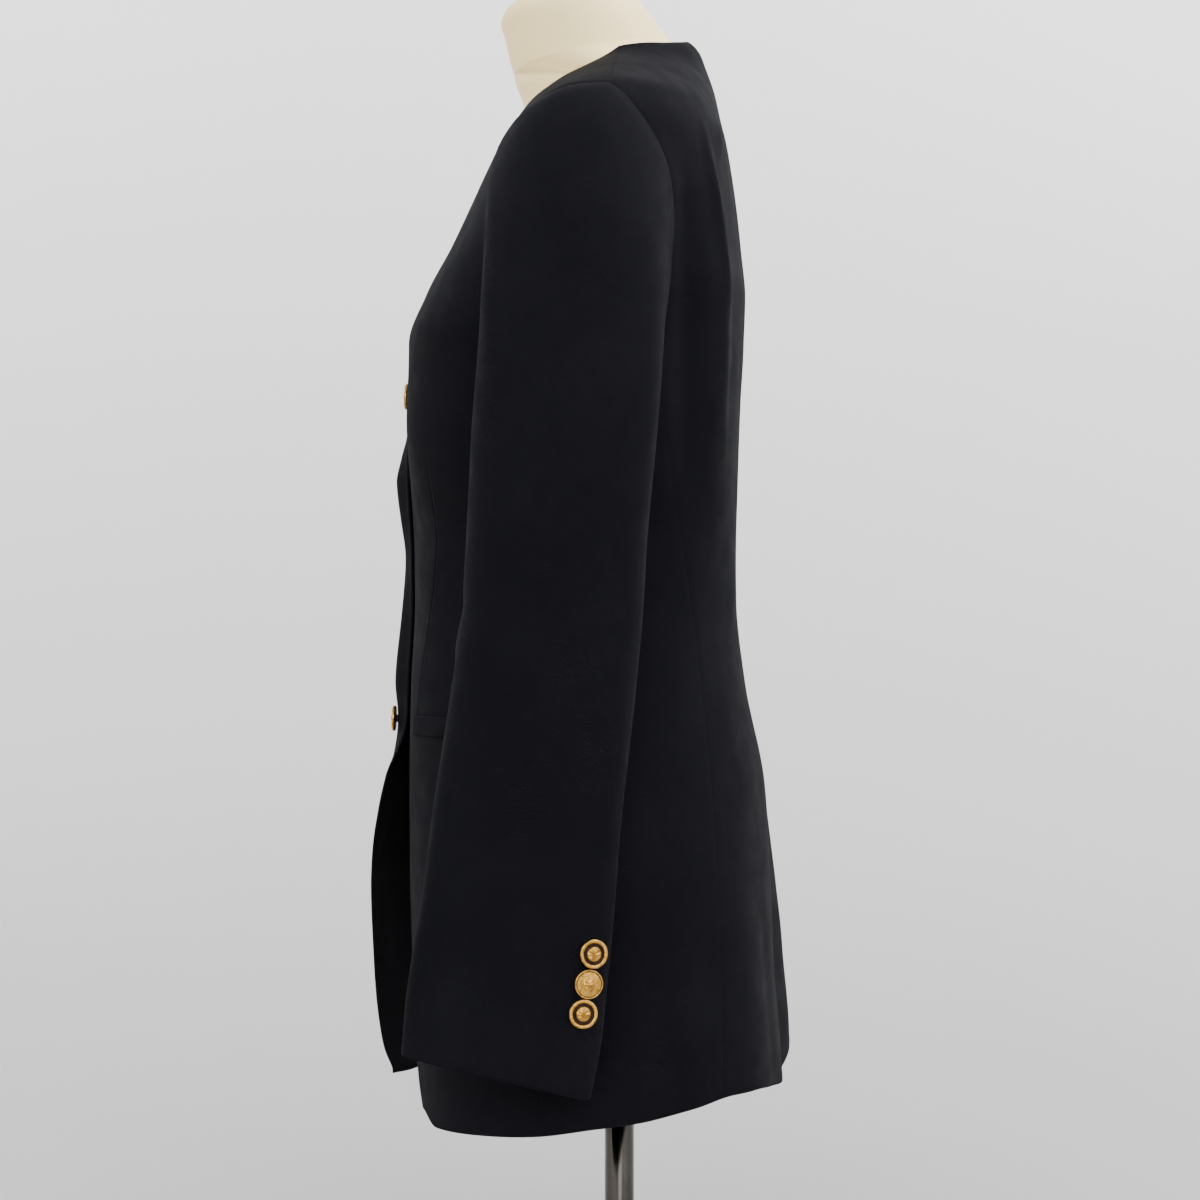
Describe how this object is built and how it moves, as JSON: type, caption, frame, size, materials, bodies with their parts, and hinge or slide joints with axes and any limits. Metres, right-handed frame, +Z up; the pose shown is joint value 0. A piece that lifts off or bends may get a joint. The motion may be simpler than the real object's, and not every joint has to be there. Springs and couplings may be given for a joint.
{
  "type": "collarless blazer on a limbless dress form",
  "caption": "Long collarless single-breasted blazer with set-in sleeves, welt pockets, back vent and gold shank buttons, on a limbless dress form with a chrome pole and round base.",
  "frame": {"origin": "middle of the base's underside, on the pole's axis, on the floor", "axes": "+Z up, the front of the blazer faces -Y, the wearer's left is +X"},
  "size_m": [0.5148, 0.3333, 1.4334],
  "materials": {
    "black_cloth": "matte black crepe with a faint sheen",
    "gold_metal": "antique gold, polished rims",
    "cream_form": "smooth cream, softly matte",
    "chrome_tube": "polished chrome"
  },
  "bodies": {
    "root": {"front_left": "black_cloth", "front_right": "black_cloth", "side_left": "black_cloth", "side_right": "black_cloth", "back_left": "black_cloth", "back_right": "black_cloth", "sleeve_top_left": "black_cloth", "sleeve_top_right": "black_cloth", "sleeve_under_left": "black_cloth", "sleeve_under_right": "black_cloth", "pocket_welt_left": "black_cloth", "pocket_welt_right": "black_cloth", "button_front_upper": "gold_metal", "button_front_lower": "gold_metal", "button_cuff_left_1": "gold_metal", "button_cuff_left_2": "gold_metal", "button_cuff_left_3": "gold_metal", "button_cuff_right_1": "gold_metal", "button_cuff_right_2": "gold_metal", "button_cuff_right_3": "gold_metal", "dress_form": "cream_form", "pole": "chrome_tube", "stand_base": "chrome_tube"}
  },
  "joints": []
}
